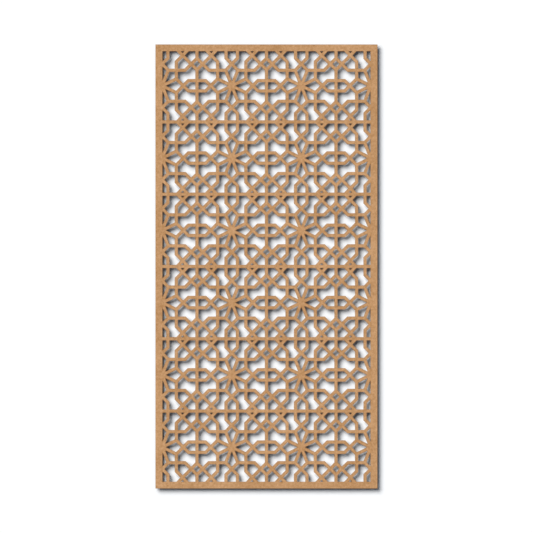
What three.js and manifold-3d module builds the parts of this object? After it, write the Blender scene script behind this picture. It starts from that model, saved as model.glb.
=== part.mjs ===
// A mashrabiya screen: one flat MDF sheet, pierced right through with a lattice of eight-rayed
// stars and knotted straps, and left solid round its edge as a frame.
// Millimetres, +Z up. The front looks towards -Y, and the origin is the middle of the back face.

import * as THREE from "three";
import { mergeVertices } from "three/addons/utils/BufferGeometryUtils.js";
import Module from "manifold-3d";

// The sheet
const panelWidth = 600;
const panelHeight = 1200;
const panelThickness = 6;
const sideRail = 19; // solid border to the left and right of the lattice
const endRail = 18.4; // solid border above and below it

// The lattice is tiles in columns and rows. Stars are centred on the tiles' upright edges
const columns = 3;
const rows = 6;
const strapWidth = 8.7; // every strap, and the level bar between two rows
const starBehindRail = 0.8; // the outermost star centres lie this far behind the rails' edges

// One quarter of a tile as it is drawn, measured across and up from the tile's middle
const drawnHalfWidth = 93.93;
const drawnHalfHeight = 97.66;
const hexagonHalfWidth = 37.12; // the lying hexagon round the tile's middle
const hexagonHalfHeight = 13.94;
const sidePostAcross = 55.74; // the upright strap between the hexagon and the star
const sidePostTop = 64.92;
const diamondBottom = 43.08; // the small diamond on the tile's upright axis
const diamondTop = 74.18;
const shoulderUp = 41.92; // the level strap that runs to a ray's end
const rayEndAcross = 77.47;
const starKnotUp = 59.03; // the crossing straight above a star's centre
const houseWallAcross = 78.54; // the short upright strap from there to the row bar
const eyeHalfWidth = 14.86; // half the foot of the small triangle on the row bar

// One sheet has more faces than one solid may, so it is parted along two of its row bars
const bandNames = ["screen_lower", "screen_middle", "screen_upper"];
const partingGap = 0.3;

const pitchAcross = (panelWidth - 2 * (sideRail - starBehindRail)) / columns;
const pitchUp = (panelHeight - 2 * endRail + strapWidth) / rows;
const openHalfWidth = panelWidth / 2 - sideRail;

// Where the diagonal that falls (across + up = sum) meets the one that rises (up - across = rise)
function diagonalsMeet(sum, rise) {
  return [(sum - rise) / 2, (sum + rise) / 2];
}

const otherSide = ([across, up]) => [-across, up];
const below = ([across, up]) => [across, -up];
const fromStarLine = ([across, up]) => [drawnHalfWidth - across, up];

// The points where centre lines of straps meet, on the upper right quarter of a tile
const hexagonTop = [0, hexagonHalfHeight];
const hexagonCorner = [hexagonHalfWidth - hexagonHalfHeight, hexagonHalfHeight];
const hexagonTip = [hexagonHalfWidth, 0];
const postFoot = [sidePostAcross, sidePostAcross - hexagonHalfWidth];
const postHead = [sidePostAcross, sidePostTop];
const postCrossing = [sidePostAcross, shoulderUp];
const diamondFoot = [0, diamondBottom];
const diamondHead = [0, diamondTop];
const diamondSide = diagonalsMeet(diamondTop, diamondBottom);
const barKnot = diagonalsMeet(sidePostAcross + sidePostTop, diamondBottom);
const eyeInner = [barKnot[0] - eyeHalfWidth, drawnHalfHeight];
const eyeOuter = [barKnot[0] + eyeHalfWidth, drawnHalfHeight];
const shoulderBend = [diamondTop - shoulderUp, shoulderUp];
const rayEnd = [rayEndAcross, shoulderUp];
const starKnot = [drawnHalfWidth, starKnotUp];
const starCentre = [drawnHalfWidth, 0];
const houseWallFoot = [houseWallAcross, starKnotUp + drawnHalfWidth - houseWallAcross];
const houseWallHead = [houseWallAcross, drawnHalfHeight];
const axisHead = [0, drawnHalfHeight];

// Openings inside one quarter, repeated in all four
const quarterOpenings = [
  [eyeOuter, barKnot, postHead, postCrossing, rayEnd, starKnot, houseWallFoot, houseWallHead],
  [barKnot, diamondSide, shoulderBend, postCrossing, postHead],
  [axisHead, eyeInner, barKnot, diamondSide, diamondHead],
  [diamondSide, diamondFoot, hexagonTop, hexagonCorner, hexagonTip, postFoot, postCrossing,
    shoulderBend],
  [starCentre, rayEnd, postCrossing, postFoot],
];

// Openings across the tile's upright axis, repeated above and below
const uprightAxisOpenings = [[diamondFoot, diamondSide, diamondHead, otherSide(diamondSide)]];

// Openings across its level axis, repeated left and right
const levelAxisOpenings = [
  [starCentre, postFoot, hexagonTip, below(postFoot)],
  [hexagonTop, hexagonCorner, hexagonTip, below(hexagonCorner), below(hexagonTop)],
];

// Openings across the line of stars between two tiles, repeated above and below
const starLineOpenings = [
  [starCentre, rayEnd, starKnot].map(fromStarLine).concat([otherSide(fromStarLine(rayEnd))]),
  [starKnot, houseWallFoot, houseWallHead].map(fromStarLine).concat(
    [houseWallHead, houseWallFoot].map(fromStarLine).map(otherSide),
  ),
];

// Where two straight edges cross
function edgesMeet(a, b) {
  const along = b.start.clone().sub(a.start).cross(b.direction) / a.direction.cross(b.direction);
  return a.start.clone().addScaledVector(a.direction, along);
}

// The hole that is left inside an anticlockwise outline of centre lines, half a strap in.
// An edge that the straps close up is left out, and with too few edges there is no hole
function holeBetweenStraps(outline) {
  let edges = outline.map((start, i) => {
    const direction = outline[(i + 1) % outline.length].clone().sub(start).normalize();
    const inward = new THREE.Vector2(-direction.y, direction.x);
    return { start: start.clone().addScaledVector(inward, strapWidth / 2), direction };
  });
  while (edges.length > 2) {
    const corners = edges.map((edge, i) => edgesMeet(edges.at(i - 1), edge));
    const open = edges.filter((edge, i) => {
      const length = corners[(i + 1) % corners.length].clone().sub(corners[i]);
      return length.dot(edge.direction) > 0;
    });
    if (open.length === edges.length) return corners;
    edges = open;
  }
  return [];
}

// What a side rail leaves of a hole: side is 1 for the right rail and -1 for the left one
function trimmedByRail(hole, side) {
  const kept = [];
  hole.forEach((point, i) => {
    const next = hole[(i + 1) % hole.length];
    const inside = side * point.x <= openHalfWidth;
    if (inside) kept.push(point);
    if (inside !== side * next.x <= openHalfWidth) {
      const share = (side * openHalfWidth - point.x) / (next.x - point.x);
      kept.push(point.clone().lerp(next, share));
    }
  });
  return kept;
}

// Outlines drawn on a tile, placed on the panel round a centre and mirrored as asked
function placedHoles(outlines, centreX, centreZ, mirrorX, mirrorZ) {
  const stretchX = (mirrorX * pitchAcross) / 2 / drawnHalfWidth;
  const stretchZ = (mirrorZ * pitchUp) / 2 / drawnHalfHeight;
  return outlines.map((outline) => {
    const points = outline.map(
      ([across, up]) => new THREE.Vector2(centreX + across * stretchX, centreZ + up * stretchZ),
    );
    if (THREE.ShapeUtils.isClockWise(points)) points.reverse();
    return trimmedByRail(trimmedByRail(holeBetweenStraps(points), 1), -1);
  });
}

// Every hole of one row of tiles
function rowHoles(row) {
  const centreZ = (row - (rows - 1) / 2) * pitchUp;
  const holes = [];
  for (let column = 0; column < columns; column += 1) {
    const centreX = (column - (columns - 1) / 2) * pitchAcross;
    for (const mirror of [-1, 1]) {
      holes.push(...placedHoles(quarterOpenings, centreX, centreZ, mirror, 1));
      holes.push(...placedHoles(quarterOpenings, centreX, centreZ, mirror, -1));
      holes.push(...placedHoles(uprightAxisOpenings, centreX, centreZ, 1, mirror));
      holes.push(...placedHoles(levelAxisOpenings, centreX, centreZ, mirror, 1));
    }
  }
  for (let line = 0; line <= columns; line += 1) {
    const starX = (line - columns / 2) * pitchAcross;
    holes.push(...placedHoles(starLineOpenings, starX, centreZ, 1, 1));
    holes.push(...placedHoles(starLineOpenings, starX, centreZ, 1, -1));
  }
  return holes.filter((hole) => hole.length > 2);
}

const wasm = await Module();
wasm.setup();

// A closed mesh as a solid that can be cut
function solidOf(geometry) {
  geometry.deleteAttribute("normal");
  geometry.deleteAttribute("uv");
  const merged = mergeVertices(geometry);
  return new wasm.Manifold(
    new wasm.Mesh({
      numProp: 3,
      vertProperties: Float32Array.from(merged.attributes.position.array),
      triVerts: Uint32Array.from(merged.index.array),
    }),
  );
}

// A solid as a mesh's geometry again, with flat faces
function geometryOf(solid) {
  const { vertProperties, triVerts } = solid.getMesh();
  const geometry = new THREE.BufferGeometry();
  geometry.setAttribute("position", new THREE.BufferAttribute(vertProperties, 3));
  geometry.setIndex(new THREE.BufferAttribute(triVerts, 1));
  const flat = geometry.toNonIndexed();
  flat.computeVertexNormals();
  return flat;
}

// One band of the sheet, from the bar under its first row to the bar over its last one.
// The cutters run out past both faces of the sheet
function band(firstRow, endRow) {
  const barUp = (row) => (row - rows / 2) * pitchUp;
  const bottom = firstRow === 0 ? -panelHeight / 2 : barUp(firstRow) + partingGap / 2;
  const top = endRow === rows ? panelHeight / 2 : barUp(endRow) - partingGap / 2;
  const sheet = new THREE.BoxGeometry(panelWidth, top - bottom, panelThickness);
  sheet.translate(0, (bottom + top) / 2, panelThickness / 2);
  const outlines = [];
  for (let row = firstRow; row < endRow; row += 1) {
    outlines.push(...rowHoles(row).map((hole) => new THREE.Shape(hole)));
  }
  const cutters = new THREE.ExtrudeGeometry(outlines, {
    depth: 3 * panelThickness,
    bevelEnabled: false,
  });
  cutters.translate(0, 0, -panelThickness);
  return geometryOf(solidOf(sheet).subtract(solidOf(cutters)));
}

const mdf = new THREE.MeshStandardMaterial({ color: "#c2966b", roughness: 0.85, metalness: 0 });

// The sheet is drawn flat and stood up: drawn up becomes +Z, and its thickness runs towards -Y
const screen = new THREE.Group();
screen.rotation.x = Math.PI / 2;
bandNames.forEach((name, i) => {
  const firstRow = Math.round((i * rows) / bandNames.length);
  const endRow = Math.round(((i + 1) * rows) / bandNames.length);
  const mesh = new THREE.Mesh(band(firstRow, endRow), mdf);
  mesh.name = name;
  screen.add(mesh);
});

export default screen;
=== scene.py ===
import math
from itertools import product

import bmesh
import bpy
from mathutils import Matrix, Vector
from mathutils.geometry import delaunay_2d_cdt


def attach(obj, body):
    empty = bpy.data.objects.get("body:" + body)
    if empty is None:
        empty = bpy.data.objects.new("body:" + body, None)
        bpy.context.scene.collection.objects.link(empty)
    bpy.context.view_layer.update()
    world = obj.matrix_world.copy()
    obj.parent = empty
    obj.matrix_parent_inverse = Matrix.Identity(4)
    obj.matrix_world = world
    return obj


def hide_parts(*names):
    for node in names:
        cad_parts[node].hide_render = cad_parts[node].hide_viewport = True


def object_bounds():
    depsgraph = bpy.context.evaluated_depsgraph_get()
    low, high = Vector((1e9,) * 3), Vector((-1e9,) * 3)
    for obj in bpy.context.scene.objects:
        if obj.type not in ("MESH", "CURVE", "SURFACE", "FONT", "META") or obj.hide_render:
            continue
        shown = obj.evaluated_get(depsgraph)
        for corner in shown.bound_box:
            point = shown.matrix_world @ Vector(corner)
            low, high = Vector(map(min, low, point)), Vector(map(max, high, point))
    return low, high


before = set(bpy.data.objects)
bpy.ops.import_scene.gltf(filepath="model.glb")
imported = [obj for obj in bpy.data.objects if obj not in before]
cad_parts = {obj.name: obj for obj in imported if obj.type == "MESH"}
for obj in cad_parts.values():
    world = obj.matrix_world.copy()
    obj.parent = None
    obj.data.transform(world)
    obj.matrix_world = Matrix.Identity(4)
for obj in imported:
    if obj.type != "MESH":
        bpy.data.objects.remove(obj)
cad_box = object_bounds()


# The board
# One sheet of 6 mm medium-density fibreboard is the whole screen. It is cut square, with nothing
# joined to it, and is held by its flat back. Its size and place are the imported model's.

MM = 0.001
low, high = cad_box
board_width = (high.x - low.x) / MM
board_height = (high.z - low.z) / MM
front, back = low.y / MM, high.y / MM


# The lattice
# Straps of one width are left standing in the sheet. Their centre lines are drawn on a quarter of
# a tile, which is mirrored both ways: stars fall on the tiles' upright edges, bars between rows.

SIDE_RAIL = 19.0
END_RAIL = 18.4
COLUMNS, ROWS = 3, 6
STRAP_WIDTH = 8.7
STAR_BEHIND_RAIL = 0.8  # the outermost stars' centres lie this far behind the rails' edges

# a quarter of a tile, measured across and up from the tile's middle
DRAWN_HALF_WIDTH, DRAWN_HALF_HEIGHT = 93.93, 97.66
HEXAGON_HALF_WIDTH, HEXAGON_HALF_HEIGHT = 37.12, 13.94
SIDE_POST_ACROSS, SIDE_POST_TOP = 55.74, 64.92
DIAMOND_BOTTOM, DIAMOND_TOP = 43.08, 74.18
SHOULDER_UP = 41.92
RAY_END_ACROSS = 77.47
STAR_KNOT_UP = 59.03
HOUSE_WALL_ACROSS = 78.54
EYE_HALF_WIDTH = 14.86

pitch_across = (board_width - 2 * (SIDE_RAIL - STAR_BEHIND_RAIL)) / COLUMNS
pitch_up = (board_height - 2 * END_RAIL + STRAP_WIDTH) / ROWS


def on_tile(across, up):
    """A point of the drawing, stretched to the pitch that the board gives the tiles."""
    stretch_across = pitch_across / 2 / DRAWN_HALF_WIDTH
    stretch_up = pitch_up / 2 / DRAWN_HALF_HEIGHT
    return Vector((across * stretch_across, up * stretch_up))


def diagonals_meet(falling, rising):
    """Where the diagonal across + up = falling meets the diagonal up - across = rising."""
    return on_tile((falling - rising) / 2, (falling + rising) / 2)


def other_side(point):
    return Vector((-point.x, point.y))


def below(point):
    return Vector((point.x, -point.y))


def from_star_line(point):
    """The same point, measured from the line of stars with the tile's middle on the right."""
    return Vector((pitch_across / 2 - point.x, point.y))


hexagon_top = on_tile(0, HEXAGON_HALF_HEIGHT)
hexagon_corner = on_tile(HEXAGON_HALF_WIDTH - HEXAGON_HALF_HEIGHT, HEXAGON_HALF_HEIGHT)
hexagon_tip = on_tile(HEXAGON_HALF_WIDTH, 0)
post_foot = on_tile(SIDE_POST_ACROSS, SIDE_POST_ACROSS - HEXAGON_HALF_WIDTH)
post_head = on_tile(SIDE_POST_ACROSS, SIDE_POST_TOP)
post_crossing = on_tile(SIDE_POST_ACROSS, SHOULDER_UP)
diamond_foot = on_tile(0, DIAMOND_BOTTOM)
diamond_head = on_tile(0, DIAMOND_TOP)
diamond_side = diagonals_meet(DIAMOND_TOP, DIAMOND_BOTTOM)
bar_knot = diagonals_meet(SIDE_POST_ACROSS + SIDE_POST_TOP, DIAMOND_BOTTOM)
eye_inner = Vector((bar_knot.x - EYE_HALF_WIDTH, pitch_up / 2))
eye_outer = Vector((bar_knot.x + EYE_HALF_WIDTH, pitch_up / 2))
axis_head = on_tile(0, DRAWN_HALF_HEIGHT)
shoulder_bend = on_tile(DIAMOND_TOP - SHOULDER_UP, SHOULDER_UP)
ray_end = on_tile(RAY_END_ACROSS, SHOULDER_UP)
star_centre = on_tile(DRAWN_HALF_WIDTH, 0)
star_knot = on_tile(DRAWN_HALF_WIDTH, STAR_KNOT_UP)
house_wall_foot = on_tile(HOUSE_WALL_ACROSS, STAR_KNOT_UP + DRAWN_HALF_WIDTH - HOUSE_WALL_ACROSS)
house_wall_head = on_tile(HOUSE_WALL_ACROSS, DRAWN_HALF_HEIGHT)

# points beside the line of stars, measured from it
petal_root = from_star_line(star_centre)
petal_side = from_star_line(ray_end)
petal_top = from_star_line(star_knot)
house_eaves = from_star_line(house_wall_foot)
house_sill = from_star_line(house_wall_head)
house_sill_middle = Vector((0, house_sill.y))


def between_straps(*corners):
    """An opening as (point, inset) pairs, anticlockwise. Each edge moves in by half a strap."""
    area = sum(a.cross(b) for a, b in zip(corners, corners[1:] + corners[:1]))
    anticlockwise = corners if area > 0 else reversed(corners)
    return [(point, STRAP_WIDTH / 2) for point in anticlockwise]


def beside_rail(first, *others):
    """An opening that the left rail closes, anticlockwise. The rail's edge leaves the first point."""
    return [(first, STAR_BEHIND_RAIL)] + [(point, STRAP_WIDTH / 2) for point in others]


in_each_quarter = [
    between_straps(eye_outer, bar_knot, post_head, post_crossing, ray_end, star_knot,
                   house_wall_foot, house_wall_head),
    between_straps(bar_knot, diamond_side, shoulder_bend, post_crossing, post_head),
    between_straps(axis_head, eye_inner, bar_knot, diamond_side, diamond_head),
    between_straps(diamond_side, diamond_foot, hexagon_top, hexagon_corner, hexagon_tip,
                   post_foot, post_crossing, shoulder_bend),
    between_straps(star_centre, ray_end, post_crossing, post_foot),
    between_straps(eye_inner, bar_knot, eye_outer),
]
on_upright_axis = [
    between_straps(diamond_foot, diamond_side, diamond_head, other_side(diamond_side)),
]
on_level_axis = [
    between_straps(star_centre, post_foot, hexagon_tip, below(post_foot)),
    between_straps(hexagon_top, hexagon_corner, hexagon_tip, below(hexagon_corner),
                   below(hexagon_top)),
]
on_star_line = [
    between_straps(petal_top, petal_side, petal_root, other_side(petal_side)),
    between_straps(petal_top, house_eaves, house_sill, other_side(house_sill),
                   other_side(house_eaves)),
]
at_left_rail = [
    beside_rail(petal_top, petal_root, petal_side),
    beside_rail(house_sill_middle, petal_top, house_eaves, house_sill),
]

row_middles = [(row - (ROWS - 1) / 2) * pitch_up for row in range(ROWS)]
column_middles = [(column - (COLUMNS - 1) / 2) * pitch_across for column in range(COLUMNS)]
star_lines = [(line - COLUMNS / 2) * pitch_across for line in range(COLUMNS + 1)]
as_drawn, mirrored, both = (1,), (-1,), (1, -1)
repeats = [
    # openings, where across they are repeated, and how they are mirrored across and up
    (in_each_quarter, column_middles, both, both),
    (on_upright_axis, column_middles, as_drawn, both),
    (on_level_axis, column_middles, both, as_drawn),
    (on_star_line, star_lines[1:-1], as_drawn, both),
    (at_left_rail, star_lines[:1], as_drawn, both),
    (at_left_rail, star_lines[-1:], mirrored, both),
]


# The cut
# A laser cuts each opening and the sheet's own edge right through. It burns the corners slightly
# round and narrows on its way, so a cut is tightest at the back. Fine paper then eases its arrises.

CORNER_RADIUS = 0.4
CORNER_STEPS = 2
ARRIS = 0.25
KERF_TAPER = 0.12  # how far each wall of a cut leans in on its way to the back
FRINGE = 1.4  # how far from a cut the heat still tints the face
FRONT_TOAST, CHARRED, BACK_TOAST = 0.55, 1.0, 0.75  # how brown it leaves the arrises

rim_profile = [
    # depth, how far the edge stands into the opening, how brown it is
    (front, -ARRIS, FRONT_TOAST),
    (front + ARRIS, 0.0, CHARRED),
    (back - ARRIS, KERF_TAPER, CHARRED),
    (back, KERF_TAPER - ARRIS, BACK_TOAST),
]
FACE, EDGE = 0, 1  # the sheet's finishes, in the order of its materials
points, toast = [], []
faces, finishes = [], []


def moved_edges(outline, shift):
    """Each edge as (start, direction, inward), once it has moved in by its inset plus shift."""
    edges = []
    for (start, inset), (end, _) in zip(outline, outline[1:] + outline[:1]):
        along = (end - start).normalized()
        inward = Vector((-along.y, along.x))
        edges.append((start + inward * (inset + shift), along, inward))
    return edges


def sharp_ring(outline, shift):
    """The corners between an outline's moved edges."""
    edges = moved_edges(outline, shift)
    ring = []
    for i, (start, along, _) in enumerate(edges):
        start_before, along_before, _ = edges[i - 1]
        reach = (start - start_before).cross(along) / along_before.cross(along)
        ring.append(start_before + along_before * reach)
    return ring


def rounded_ring(outline, shift):
    """The same with every corner rounded, whichever way it turns."""
    edges = moved_edges(outline, shift)
    ring = []
    for i, (_, along, _) in enumerate(edges):
        _, along_before, inward_before = edges[i - 1]
        turn = math.atan2(along_before.cross(along), along_before.dot(along))
        radius = math.copysign(CORNER_RADIUS, turn)
        arc_middle = sharp_ring(outline, radius)[i]
        for step in range(CORNER_STEPS + 1):
            swing = Matrix.Rotation(turn * step / CORNER_STEPS, 2)
            ring.append(arc_middle + swing @ inward_before * (shift - radius))
    return ring


def rings_of(outline):
    """The fringe's ring, then the cut's own rings from front to back."""
    rims = [rounded_ring(outline, stands_in) for _, stands_in, _ in rim_profile]
    return [sharp_ring(outline, -FRINGE), *rims]


def add_ring(ring, middle, mirror, depth, brown):
    """Puts a ring of points into the mesh, turning as it was drawn, and gives their numbers."""
    first = len(points)
    turns_as_drawn = mirror.x * mirror.y > 0
    for point in ring if turns_as_drawn else reversed(ring):
        across, up = middle + mirror * point
        points.append((across * MM, depth * MM, up * MM))
        toast.append(brown)
    return list(range(first, len(points)))


def add_faces(finish, corner_lists):
    faces.extend(corner_lists)
    finishes.extend([finish] * len(corner_lists))


def join_fringe(fringe, rim):
    """The tinted strip of a face, from a ring of sharp corners to the rounded cut."""
    arc_points = CORNER_STEPS + 1
    for i, corner in enumerate(fringe):
        start = i * arc_points
        arc = rim[start:start + arc_points]
        add_faces(FACE, [(fringe[i - 1], rim[start - 1], arc[0], corner)])
        add_faces(FACE, [(corner, a, b) for a, b in zip(arc, arc[1:])])


def cut(rings, middle, mirror):
    """One cut right through the sheet. Gives its fringe's ring on the front and on the back."""
    fringe_ring, *rim_rings = rings
    rims = [
        add_ring(ring, middle, mirror, depth, brown)
        for ring, (depth, _, brown) in zip(rim_rings, rim_profile)
    ]
    for rim, deeper in zip(rims, rims[1:]):
        add_faces(EDGE, [
            (rim[i - 1], rim[i], deeper[i], deeper[i - 1]) for i in range(len(rim))
        ])
    fringes = [add_ring(fringe_ring, middle, mirror, depth, 0.0) for depth in (front, back)]
    join_fringe(fringes[0], rims[0])
    join_fringe(fringes[1], rims[-1])
    return fringes


def fill_face(sheet_loop, opening_loops):
    """One flat face of the sheet, between its own fringe and those of the openings."""
    loops = [sheet_loop[::-1], *opening_loops]  # the sheet's own edge was drawn clockwise
    numbers = [number for loop in loops for number in loop]
    flat = [Vector((points[number][0], points[number][2])) for number in numbers]
    order = {number: i for i, number in enumerate(numbers)}
    outlines = [[order[number] for number in loop] for loop in loops]
    inside_only, closest = 1, 1e-9
    _, _, triangles, came_from, _, lies_in = delaunay_2d_cdt(
        flat, [], outlines, inside_only, closest,
    )
    add_faces(FACE, [
        [numbers[came_from[corner][0]] for corner in triangle]
        for triangle, loops_round_it in zip(triangles, lies_in)
        if list(loops_round_it) == [0]  # within the sheet's loop, and in no opening's
    ])


edge_inset = -KERF_TAPER  # so that the widest part of the edge keeps the board's size
# it runs clockwise, because what its cut takes away lies outside it
board_outline = [
    (Vector((across * board_width / 2, up * board_height / 2)), edge_inset)
    for across, up in ((-1, -1), (-1, 1), (1, 1), (1, -1))
]
sheet_fringes = cut(rings_of(board_outline), Vector((0, 0)), Vector((1, 1)))
opening_fringes = []
for outlines, places, mirrors_across, mirrors_up in repeats:
    for outline in outlines:
        rings = rings_of(outline)
        for middle in product(places, row_middles):
            for mirror in product(mirrors_across, mirrors_up):
                opening_fringes.append(cut(rings, Vector(middle), Vector(mirror)))
for sheet_loop, opening_loops in zip(sheet_fringes, zip(*opening_fringes)):
    fill_face(sheet_loop, opening_loops)

mesh = bpy.data.meshes.new("pierced_sheet")
mesh.from_pydata(points, [], faces)
mesh.polygons.foreach_set("material_index", finishes)
mesh.attributes.new("toast", "FLOAT", "POINT").data.foreach_set("value", toast)
shell = bmesh.new()
shell.from_mesh(mesh)
bmesh.ops.recalc_face_normals(shell, faces=shell.faces)
shell.to_mesh(mesh)
shell.free()
sheet = bpy.data.objects.new("pierced_sheet", mesh)
bpy.context.scene.collection.objects.link(sheet)


# The sanded face
# Raw medium-density fibreboard: softwood fibre pressed with resin and sanded at the mill. The eye
# gets a matt, even tan with no grain: soft mottling, a felt of fine fibres, a few specks of bark.

MDF_PALE = "#C89B6F"
MDF_DEEP = "#A37545"
MDF_BARK = "#7B5838"
MDF_AMBER = "#AE7A44"
MDF_ROUGHNESS = 0.85
MDF_IOR = 1.45
DRIFT_SIZE = 90.0  # slow changes in the mat of fibre
MOTTLE_SIZE = 7.0  # clumps of fibre
MOTTLE_BREAKUP = 0.7  # how strongly the clumps break up into smaller ones
FIBRE_LENGTH = 3.0
FIBRE_WIDTH = 0.3  # real fibres are about 0.03 mm thick, too fine to show
FIBRE_CURL = 0.6
FIBRE_TURNS = (8, 52, 97, 141)  # they lie every way, so four ways stand for all
FIBRE_RELIEF = 0.03
DRIFT_DETAIL, MOTTLE_DETAIL, FIBRE_DETAIL = 2.0, 3.0, 1.0  # finer layers in each pattern
DRIFT_SHARE, MOTTLE_SHARE, FELT_SHARE = 0.4, 1.0, 1.5  # how much each counts in the tone
TONE_SPREAD = 0.22  # how far the tone strays before it is all pale or all deep
SPECK_SPACING = 9.0
SPECK_RADIUS, SPECK_CORE = 0.9, 0.36  # a speck fades out from its core to its radius
SPECK_DEPTH = 0.35


def linear(code):
    """An sRGB hex colour as the linear values that a shader takes."""
    channels = [int(code[i:i + 2], 16) / 255 for i in (1, 3, 5)]
    return [c / 12.92 if c <= 0.04045 else ((c + 0.055) / 1.055) ** 2.4 for c in channels] + [1]


def add_node(tree, kind, inputs, **settings):
    """A node with its settings. An input is a plain value, or another node's output to link."""
    node = tree.nodes.new(kind)
    for name, value in settings.items():
        setattr(node, name, value)
    for name, value in inputs.items():
        if isinstance(value, bpy.types.NodeSocket):
            tree.links.new(value, node.inputs[name])
        else:
            node.inputs[name].default_value = value
    return node


def new_material(name):
    material = bpy.data.materials.new(name)
    material.use_nodes = True
    material.node_tree.nodes.clear()
    return material


SHARE, FIRST_COLOUR, SECOND_COLOUR, BLEND = 0, 6, 7, 2  # a Mix node's sockets, when it mixes colours

sanded_mdf = new_material("sanded_mdf")
tree = sanded_mdf.node_tree
place = add_node(tree, "ShaderNodeTexCoord", {}).outputs["Object"]
drift = add_node(tree, "ShaderNodeTexNoise", {
    "Vector": place, "Scale": 1 / (DRIFT_SIZE * MM), "Detail": DRIFT_DETAIL,
})
mottle = add_node(tree, "ShaderNodeTexNoise", {
    "Vector": place, "Scale": 1 / (MOTTLE_SIZE * MM), "Detail": MOTTLE_DETAIL,
    "Roughness": MOTTLE_BREAKUP,
})
felt = 0.0
for turn in FIBRE_TURNS:
    lay = add_node(tree, "ShaderNodeMapping", {
        "Vector": place, "Rotation": (0, math.radians(turn), 0),
        "Scale": (FIBRE_LENGTH * MM, FIBRE_LENGTH * MM, FIBRE_WIDTH * MM),
    }, vector_type="TEXTURE")
    fibres = add_node(tree, "ShaderNodeTexNoise", {
        "Vector": lay.outputs["Vector"], "Scale": 1.0, "Detail": FIBRE_DETAIL,
        "Distortion": FIBRE_CURL,
    })
    felt = add_node(tree, "ShaderNodeMath", {
        0: fibres.outputs["Fac"], 1: 1 / len(FIBRE_TURNS), 2: felt,
    }, operation="MULTIPLY_ADD").outputs["Value"]
tone = 0.0
for pattern, share in (
    (drift.outputs["Fac"], DRIFT_SHARE), (mottle.outputs["Fac"], MOTTLE_SHARE), (felt, FELT_SHARE),
):
    tone = add_node(tree, "ShaderNodeMath", {
        0: pattern, 1: share, 2: tone,
    }, operation="MULTIPLY_ADD").outputs["Value"]
middle_tone = (DRIFT_SHARE + MOTTLE_SHARE + FELT_SHARE) / 2
paleness = add_node(tree, "ShaderNodeMapRange", {
    "Value": tone, "From Min": middle_tone - TONE_SPREAD, "From Max": middle_tone + TONE_SPREAD,
})
even_tan = add_node(tree, "ShaderNodeMix", {
    SHARE: paleness.outputs["Result"], FIRST_COLOUR: linear(MDF_DEEP),
    SECOND_COLOUR: linear(MDF_PALE),
}, data_type="RGBA")
specks = add_node(tree, "ShaderNodeTexVoronoi", {
    "Vector": place, "Scale": 1 / (SPECK_SPACING * MM),
})
bark = add_node(tree, "ShaderNodeMapRange", {
    "Value": specks.outputs["Distance"], "From Min": SPECK_RADIUS / SPECK_SPACING,
    "From Max": SPECK_CORE / SPECK_SPACING, "To Max": SPECK_DEPTH,
})
flecked = add_node(tree, "ShaderNodeMix", {
    SHARE: bark.outputs["Result"], FIRST_COLOUR: even_tan.outputs[BLEND],
    SECOND_COLOUR: linear(MDF_BARK),
}, data_type="RGBA")
toasted = add_node(tree, "ShaderNodeAttribute", {}, attribute_name="toast")
coloured = add_node(tree, "ShaderNodeMix", {
    SHARE: toasted.outputs["Fac"], FIRST_COLOUR: flecked.outputs[BLEND],
    SECOND_COLOUR: linear(MDF_AMBER),
}, data_type="RGBA")
relief = add_node(tree, "ShaderNodeBump", {"Height": felt, "Distance": FIBRE_RELIEF * MM})
surface = add_node(tree, "ShaderNodeBsdfPrincipled", {
    "Base Color": coloured.outputs[BLEND], "Roughness": MDF_ROUGHNESS, "IOR": MDF_IOR,
    "Normal": relief.outputs["Normal"],
})
add_node(tree, "ShaderNodeOutputMaterial", {"Surface": surface.outputs["BSDF"]})


# The cut edge
# The same board where the laser has passed: its resin is charred to a dull toffee brown, amber at
# the arrises, and the beam's pulses leave fine lines from face to face.

CHAR_LIGHT = "#6E4425"
CHAR_DARK = "#3E2413"
CHAR_ROUGHNESS = 0.85
CHAR_SHEEN = 0.1  # soot throws back far less than bare board does
PULSE_SPACING = 0.8  # real lines are about 0.2 mm apart, too fine to show
PULSE_LENGTH = 16.0
PULSE_DETAIL, PULSE_BREAKUP = 2.0, 0.6
PULSE_RELIEF = 0.04
SCORCH_FROM, SCORCH_TO = 0.35, 0.65  # the part of the pulses' range that spans dark to light

laser_cut_mdf = new_material("laser_cut_mdf")
tree = laser_cut_mdf.node_tree
place = add_node(tree, "ShaderNodeTexCoord", {}).outputs["Object"]
along_beam = add_node(tree, "ShaderNodeMapping", {
    "Vector": place, "Scale": (PULSE_SPACING * MM, PULSE_LENGTH * MM, PULSE_SPACING * MM),
}, vector_type="TEXTURE")
pulses = add_node(tree, "ShaderNodeTexNoise", {
    "Vector": along_beam.outputs["Vector"], "Scale": 1.0, "Detail": PULSE_DETAIL,
    "Roughness": PULSE_BREAKUP,
})
scorch = add_node(tree, "ShaderNodeMapRange", {
    "Value": pulses.outputs["Fac"], "From Min": SCORCH_FROM, "From Max": SCORCH_TO,
})
char = add_node(tree, "ShaderNodeMix", {
    SHARE: scorch.outputs["Result"], FIRST_COLOUR: linear(CHAR_DARK),
    SECOND_COLOUR: linear(CHAR_LIGHT),
}, data_type="RGBA")
toasted = add_node(tree, "ShaderNodeAttribute", {}, attribute_name="toast")
charring = add_node(tree, "ShaderNodeMapRange", {
    "Value": toasted.outputs["Fac"], "From Min": FRONT_TOAST, "From Max": CHARRED,
})
coloured = add_node(tree, "ShaderNodeMix", {
    SHARE: charring.outputs["Result"], FIRST_COLOUR: linear(MDF_AMBER),
    SECOND_COLOUR: char.outputs[BLEND],
}, data_type="RGBA")
relief = add_node(tree, "ShaderNodeBump", {
    "Height": pulses.outputs["Fac"], "Distance": PULSE_RELIEF * MM,
})
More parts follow.
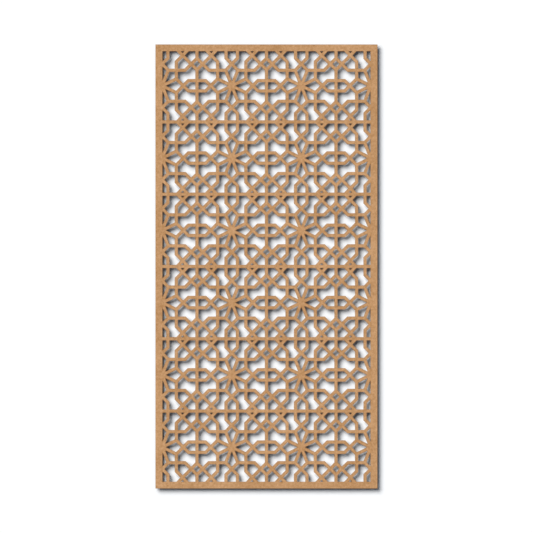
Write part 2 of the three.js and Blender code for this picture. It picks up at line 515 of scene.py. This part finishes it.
surface = add_node(tree, "ShaderNodeBsdfPrincipled", {
    "Base Color": coloured.outputs[BLEND], "Roughness": CHAR_ROUGHNESS, "IOR": MDF_IOR,
    "Specular IOR Level": CHAR_SHEEN, "Normal": relief.outputs["Normal"],
})
add_node(tree, "ShaderNodeOutputMaterial", {"Surface": surface.outputs["BSDF"]})

mesh.materials.append(sanded_mdf)
mesh.materials.append(laser_cut_mdf)
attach(sheet, "root")
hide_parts("screen_lower", "screen_middle", "screen_upper")


# The wall and the floor
# A matt white studio wall close behind the screen takes its shadow, and a pale floor runs up to it.
# Each shows only from the side that it faces, so that the screen's back can be looked at.

WALL_GAP = 14.0
FLOOR_UP = -780.0  # measured from the screen's middle, as the wall's top is
WALL_TOP = 10000.0
STAGE_REACH = 30000.0
WALL_WHITE = "#F4F4F4"
FLOOR_PALE = "#E8E6E2"


def stage_plane(name, corners, code):
    """A matt painted plane, seen from the side that it faces and not from behind."""
    paint = new_material(name)
    tree = paint.node_tree
    matt = add_node(tree, "ShaderNodeBsdfDiffuse", {"Color": linear(code)})
    unseen = add_node(tree, "ShaderNodeBsdfTransparent", {})
    seen_from = add_node(tree, "ShaderNodeNewGeometry", {})
    shown = add_node(tree, "ShaderNodeMixShader", {
        0: seen_from.outputs["Backfacing"], 1: matt.outputs["BSDF"], 2: unseen.outputs["BSDF"],
    })
    add_node(tree, "ShaderNodeOutputMaterial", {"Surface": shown.outputs["Shader"]})
    plane = bpy.data.meshes.new(name)
    plane.from_pydata([Vector(corner) * MM for corner in corners], [], [(0, 1, 2, 3)])
    plane.materials.append(paint)
    stage = bpy.data.objects.new(name, plane)
    bpy.context.scene.collection.objects.link(stage)
    return stage


wall = stage_plane("studio_wall", [
    (-STAGE_REACH, WALL_GAP, FLOOR_UP), (STAGE_REACH, WALL_GAP, FLOOR_UP),
    (STAGE_REACH, WALL_GAP, WALL_TOP), (-STAGE_REACH, WALL_GAP, WALL_TOP),
], WALL_WHITE)
wall.visible_shadow = False  # the lamp behind it still lights the screen's back
floor = stage_plane("studio_floor", [
    (-STAGE_REACH, -STAGE_REACH, FLOOR_UP), (STAGE_REACH, -STAGE_REACH, FLOOR_UP),
    (STAGE_REACH, WALL_GAP, FLOOR_UP), (-STAGE_REACH, WALL_GAP, FLOOR_UP),
], FLOOR_PALE)
floor.visible_diffuse = False  # it throws no light up, which would wash the shadow out


# The light
# A very large soft box at the upper left throws the short soft shadow down to the right. A second
# one lights the back, and the pale room adds a little cool light from all round.

SHADOW_SHIFT = 9.5  # how far the front face's shadow falls on the wall, to the right and down
SOFTNESS = 38  # degrees that a soft box fills, seen from the screen
FRONT_LAMP, BACK_LAMP = 3.86, 2.9  # watts on each square metre that faces them
ROOM_LIGHT = 0.14
ROOM_COLOUR = "#DCEBFF"
BACKGROUND = "#FFFFFF"


def add_soft_box(name, travel, strength, bounces):
    """A soft box so large and far off that a broad sun lamp stands for it.

    Its light is thrown on by what it meets as often as bounces says.
    """
    lamp = bpy.data.lights.new(name, "SUN")
    lamp.energy = strength
    lamp.angle = math.radians(SOFTNESS)
    lamp.cycles.max_bounces = bounces
    soft_box = bpy.data.objects.new(name, lamp)
    soft_box.rotation_euler = Vector(travel).to_track_quat("-Z", "Y").to_euler()
    bpy.context.scene.collection.objects.link(soft_box)


shadow_slope = SHADOW_SHIFT / (WALL_GAP - front)
add_soft_box("front_soft_box", (shadow_slope, 1, -shadow_slope), FRONT_LAMP, bounces=1)
add_soft_box("back_soft_box", (-shadow_slope, -1, -shadow_slope), BACK_LAMP, bounces=0)

world = bpy.data.worlds.new("studio")
bpy.context.scene.world = world
world.use_nodes = True
tree = world.node_tree
tree.nodes.clear()
room = add_node(tree, "ShaderNodeBackground", {
    "Color": linear(ROOM_COLOUR), "Strength": ROOM_LIGHT,
})
background = add_node(tree, "ShaderNodeBackground", {"Color": linear(BACKGROUND)})
rays = add_node(tree, "ShaderNodeLightPath", {})
shown = add_node(tree, "ShaderNodeMixShader", {
    0: rays.outputs["Is Camera Ray"], 1: room.outputs["Background"],
    2: background.outputs["Background"],
})
add_node(tree, "ShaderNodeOutputWorld", {"Surface": shown.outputs["Shader"]})
bpy.context.scene.view_settings.view_transform = "Standard"


# The camera
# It looks squarely at the front from far off, as the photograph does, and sees no perspective.
# The board fills as much of the frame's height as it does there.

PHOTO_SIDE_PX = 533
BOARD_HEIGHT_PX = 444.1
CAMERA_BACK = 3000.0

lens = bpy.data.cameras.new("camera")
lens.type = "ORTHO"
lens.ortho_scale = board_height * MM * PHOTO_SIDE_PX / BOARD_HEIGHT_PX
camera = bpy.data.objects.new("camera", lens)
camera.location = (0, -CAMERA_BACK * MM, 0)
camera.rotation_euler = (math.radians(90), 0, 0)
bpy.context.scene.collection.objects.link(camera)
bpy.context.scene.camera = camera
